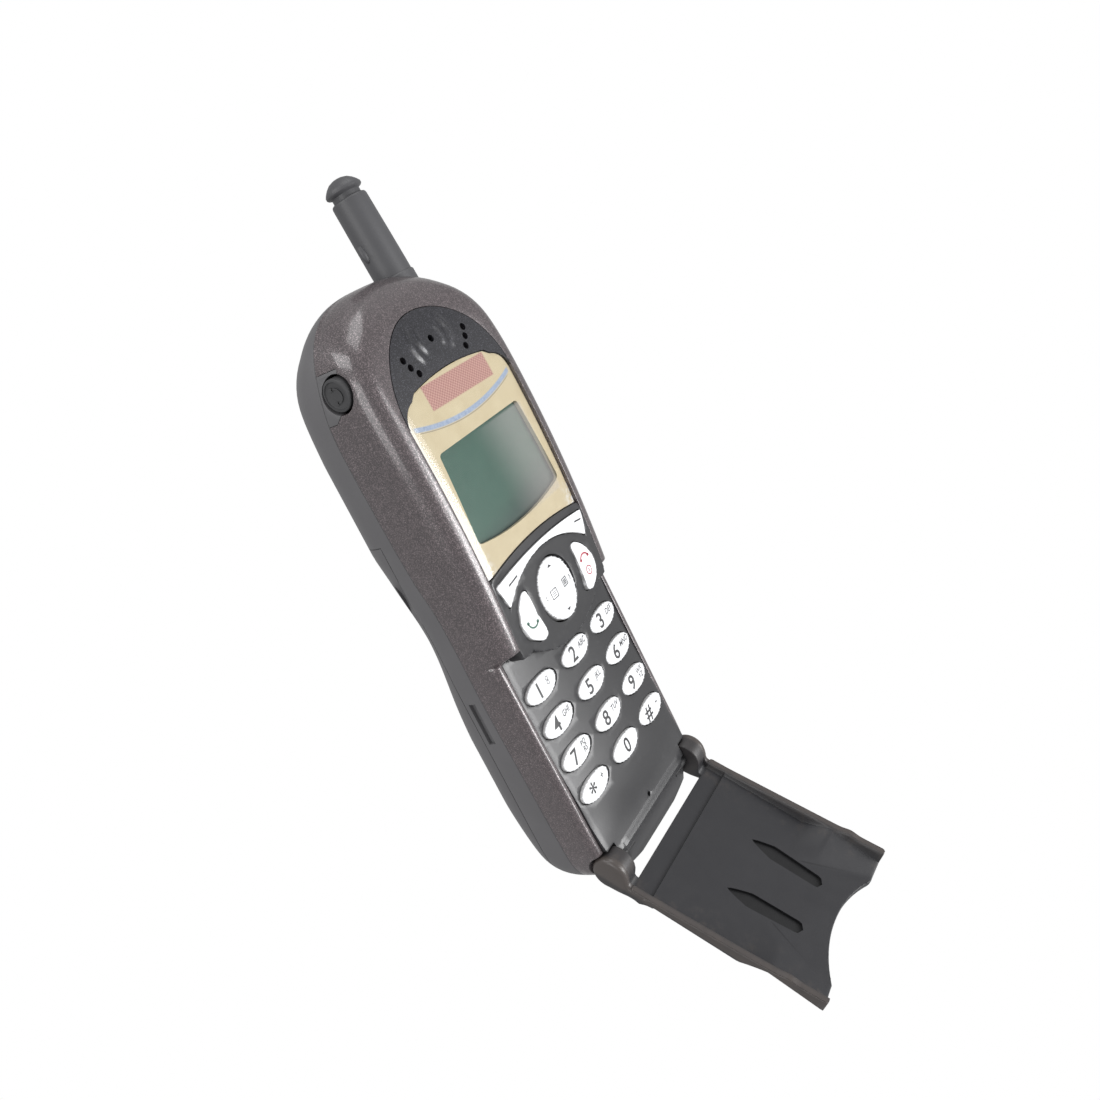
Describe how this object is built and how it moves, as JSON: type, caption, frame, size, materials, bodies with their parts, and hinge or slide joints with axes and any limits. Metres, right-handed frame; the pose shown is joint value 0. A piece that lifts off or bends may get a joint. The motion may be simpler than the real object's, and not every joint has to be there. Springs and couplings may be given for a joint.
{
  "type": "flip mobile phone",
  "caption": "Bar-shaped mobile phone with a short hinged key cover at the chin, oval keys, an arched display window and a stub antenna with a pull-out whip.",
  "frame": {"origin": "on the surface that the phone's back rests on, under the middle of the body's length and width", "axes": "+X across the phone, +Y along it from the chin to the antenna, +Z out of the front face"},
  "size_m": [0.046, 0.1846, 0.0599],
  "materials": {
    "front_shell": "charcoal paint on plastic with a fine sparkle, semi-gloss",
    "rear_shell": "satin dark grey plastic",
    "panel": "dark semi-gloss plastic",
    "plate": "dark plastic with a fine sparkle",
    "window": "clear plastic printed beige behind, glossy",
    "display_glass": "dark green display glass",
    "white_plastic": "white diffuser plastic",
    "board": "green solder mask",
    "silicone": "translucent silicone",
    "film": "clear film over steel domes",
    "flip_plastic": "textured dark plastic, worn at the edges",
    "steel": "plain steel",
    "antenna_rubber": "satin black plastic",
    "antenna_cap": "moulded black plastic over a steel whip",
    "contact_gold": "gold-plated spring metal",
    "soft_rubber": "soft black rubber",
    "black_plastic": "black moulded plastic",
    "tin": "tinned steel",
    "tungsten": "sintered heavy metal",
    "cell_foil": "foil pouch",
    "key_cap": "white glossy plastic with dark print"
  },
  "bodies": {
    "phone": {"front_housing": "front_shell", "rear_housing": "rear_shell", "key_panel": "panel", "earpiece_plate": "plate", "display_window": "window", "antenna_collar": "antenna_rubber", "antenna_stub": "antenna_rubber", "system_connector": "black_plastic", "case_screws": "steel", "lcd_glass": "display_glass", "lcd_holder": "white_plastic", "circuit_board": "board", "key_mat": "silicone", "dome_sheet": "film", "antenna_clip": "contact_gold", "headset_jack": "black_plastic", "earpiece": "black_plastic", "microphone": "steel", "mic_boot": "soft_rubber", "rf_shield": "tin", "baseband_shield": "tin", "ringer": "black_plastic", "vibration_motor": "tin", "backup_cell": "tin", "battery_contacts": "contact_gold"},
    "flip": {"flip_cover": "flip_plastic", "hinge_pins": "steel"},
    "whip": {"antenna_whip": "antenna_cap"},
    "plug": {"jack_plug": "soft_rubber"},
    "battery": {"battery_pack": "rear_shell", "battery_cell": "cell_foil"},
    "latch": {"battery_latch": "rear_shell"},
    "motor_weight": {"vibration_weight": "tungsten"},
    "key_1_cap": {"key_1": "key_cap"},
    "key_2_cap": {"key_2": "key_cap"},
    "key_3_cap": {"key_3": "key_cap"},
    "key_4_cap": {"key_4": "key_cap"},
    "key_5_cap": {"key_5": "key_cap"},
    "key_6_cap": {"key_6": "key_cap"},
    "key_7_cap": {"key_7": "key_cap"},
    "key_8_cap": {"key_8": "key_cap"},
    "key_9_cap": {"key_9": "key_cap"},
    "key_star_cap": {"key_star": "key_cap"},
    "key_0_cap": {"key_0": "key_cap"},
    "key_hash_cap": {"key_hash": "key_cap"},
    "call_key_cap": {"call_key": "key_cap"},
    "end_key_cap": {"end_key": "key_cap"},
    "nav_rocker": {"nav_key": "key_cap"},
    "soft_rocker": {"soft_key_bar": "key_cap"}
  },
  "joints": [
    {"name": "flip_hinge", "type": "hinge", "parent": "phone", "child": "flip", "pos_m": [0, -0.062, 0.0214], "axis": [1, 0, 0], "range_deg": [-130, 5]},
    {"name": "whip_slide", "type": "slide", "parent": "phone", "child": "whip", "axis": [0, 0.9945, -0.1045], "range_m": [0, 0.036]},
    {"name": "plug_pull", "type": "slide", "parent": "phone", "child": "plug", "axis": [-1, 0, 0], "range_m": [0, 0.008]},
    {"name": "battery_slide", "type": "slide", "parent": "phone", "child": "battery", "axis": [0, -1, 0], "range_m": [0, 0.012]},
    {"name": "latch_slide", "type": "slide", "parent": "phone", "child": "latch", "axis": [0, 1, 0], "range_m": [0, 0.0014], "stiffness_N_per_m": 400},
    {"name": "motor_spin", "type": "hinge", "parent": "phone", "child": "motor_weight", "pos_m": [-0.0055, -0.04825, 0.0137], "axis": [1, 0, 0], "continuous": true},
    {"name": "nav_rock", "type": "hinge", "parent": "phone", "child": "nav_rocker", "pos_m": [0, -0.00435, 0.0221], "axis": [1, 0, 0], "range_deg": [-2, 2], "stiffness_Nm_per_rad": 0.05},
    {"name": "soft_rock", "type": "hinge", "parent": "phone", "child": "soft_rocker", "pos_m": [0, 0.0061, 0.02335], "axis": [0, 1, 0], "range_deg": [-1, 1], "stiffness_Nm_per_rad": 0.05},
    {"name": "key_1_press", "type": "slide", "parent": "phone", "child": "key_1_cap", "axis": [0, 0, -1], "range_m": [0, 0.0005], "stiffness_N_per_m": 500},
    {"name": "key_2_press", "type": "slide", "parent": "phone", "child": "key_2_cap", "axis": [0, 0, -1], "range_m": [0, 0.0005], "stiffness_N_per_m": 500},
    {"name": "key_3_press", "type": "slide", "parent": "phone", "child": "key_3_cap", "axis": [0, 0, -1], "range_m": [0, 0.0005], "stiffness_N_per_m": 500},
    {"name": "key_4_press", "type": "slide", "parent": "phone", "child": "key_4_cap", "axis": [0, 0, -1], "range_m": [0, 0.0005], "stiffness_N_per_m": 500},
    {"name": "key_5_press", "type": "slide", "parent": "phone", "child": "key_5_cap", "axis": [0, 0, -1], "range_m": [0, 0.0005], "stiffness_N_per_m": 500},
    {"name": "key_6_press", "type": "slide", "parent": "phone", "child": "key_6_cap", "axis": [0, 0, -1], "range_m": [0, 0.0005], "stiffness_N_per_m": 500},
    {"name": "key_7_press", "type": "slide", "parent": "phone", "child": "key_7_cap", "axis": [0, 0, -1], "range_m": [0, 0.0005], "stiffness_N_per_m": 500},
    {"name": "key_8_press", "type": "slide", "parent": "phone", "child": "key_8_cap", "axis": [0, 0, -1], "range_m": [0, 0.0005], "stiffness_N_per_m": 500},
    {"name": "key_9_press", "type": "slide", "parent": "phone", "child": "key_9_cap", "axis": [0, 0, -1], "range_m": [0, 0.0005], "stiffness_N_per_m": 500},
    {"name": "key_star_press", "type": "slide", "parent": "phone", "child": "key_star_cap", "axis": [0, 0, -1], "range_m": [0, 0.0005], "stiffness_N_per_m": 500},
    {"name": "key_0_press", "type": "slide", "parent": "phone", "child": "key_0_cap", "axis": [0, 0, -1], "range_m": [0, 0.0005], "stiffness_N_per_m": 500},
    {"name": "key_hash_press", "type": "slide", "parent": "phone", "child": "key_hash_cap", "axis": [0, 0, -1], "range_m": [0, 0.0005], "stiffness_N_per_m": 500},
    {"name": "call_key_press", "type": "slide", "parent": "phone", "child": "call_key_cap", "axis": [0, 0, -1], "range_m": [0, 0.0005], "stiffness_N_per_m": 500},
    {"name": "end_key_press", "type": "slide", "parent": "phone", "child": "end_key_cap", "axis": [0, 0, -1], "range_m": [0, 0.0005], "stiffness_N_per_m": 500}
  ]
}
